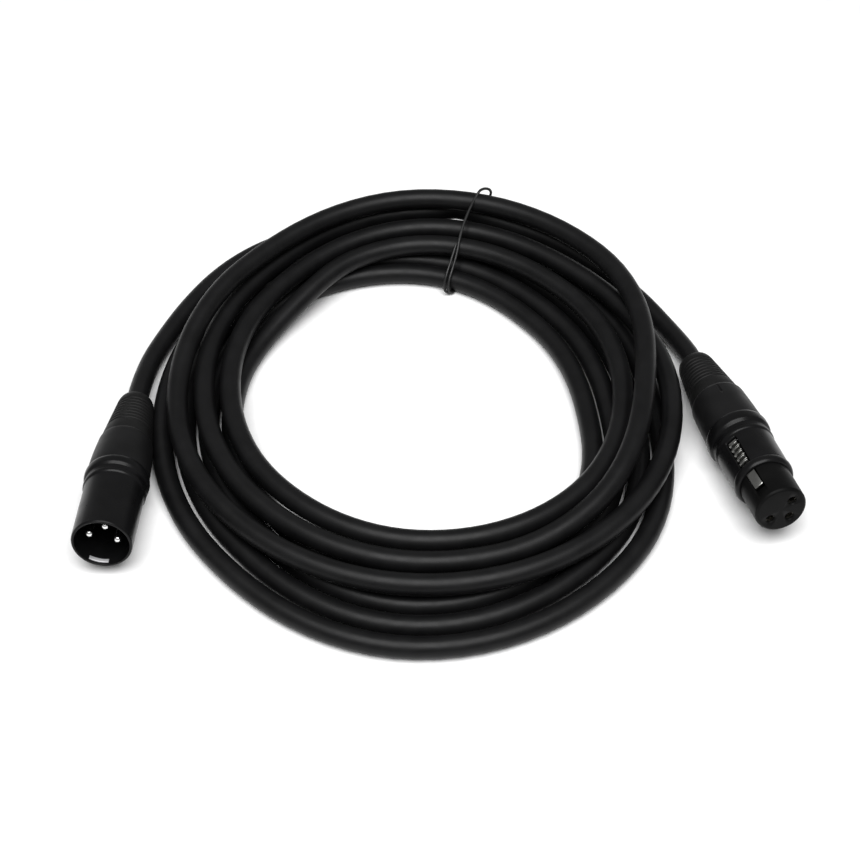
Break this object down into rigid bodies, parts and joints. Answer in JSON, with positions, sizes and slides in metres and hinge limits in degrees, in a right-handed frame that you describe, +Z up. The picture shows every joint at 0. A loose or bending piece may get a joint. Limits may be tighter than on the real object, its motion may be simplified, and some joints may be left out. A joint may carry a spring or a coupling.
{
  "type": "balanced audio cable coil",
  "caption": "Hand-coiled balanced audio cable with a three-pin plug, a three-hole latching socket and a wire tie, lying flat.",
  "frame": {"origin": "middle of the base of the whole object, on the table top", "axes": "+Z up; the connectors' mouths face -Y; the three-pin plug is on the -X side and the three-hole socket on the +X side"},
  "size_m": [0.2243, 0.2031, 0.0236],
  "materials": {
    "jacket": "satin",
    "tie_coating": "satin",
    "black_metal": "gloss",
    "bright_plate": "polished",
    "black_insulator": "satin",
    "contact_brass": "satin",
    "pale_plastic": "satin",
    "collar_plastic": "satin",
    "boot_rubber": "matte",
    "spring_steel": "satin",
    "pin_plate": "polished",
    "bare_screen": "satin",
    "red_core": "satin",
    "white_core": "satin"
  },
  "bodies": {
    "lead": {"coil": "jacket", "plug_tail": "jacket", "socket_tail": "jacket", "wire_tie": "tie_coating", "plug_shell": "black_metal", "plug_catch": "bright_plate", "plug_insert": "black_insulator", "plug_pin_1": "pin_plate", "plug_pin_2": "pin_plate", "plug_pin_3": "pin_plate", "plug_ground_tab": "contact_brass", "plug_wire_1": "bare_screen", "plug_wire_2": "red_core", "plug_wire_3": "white_core", "plug_chuck": "pale_plastic", "plug_collar": "collar_plastic", "plug_boot": "boot_rubber", "socket_shell": "black_metal", "socket_insert": "black_insulator", "socket_sleeve_1": "contact_brass", "socket_sleeve_2": "contact_brass", "socket_sleeve_3": "contact_brass", "latch_pin": "spring_steel", "latch_spring": "spring_steel", "socket_wire_1": "bare_screen", "socket_wire_2": "red_core", "socket_wire_3": "white_core", "socket_chuck": "pale_plastic", "socket_collar": "collar_plastic", "socket_boot": "boot_rubber"},
    "latch": {"latch_lever": "bright_plate"}
  },
  "joints": [
    {"name": "latch_press", "type": "hinge", "parent": "lead", "child": "latch", "pos_m": [0.09263, -0.02689, 0.01716], "axis": [0.7027, 0.2533, 0.6648], "range_deg": [0, 4], "stiffness_Nm_per_rad": 0.15}
  ]
}
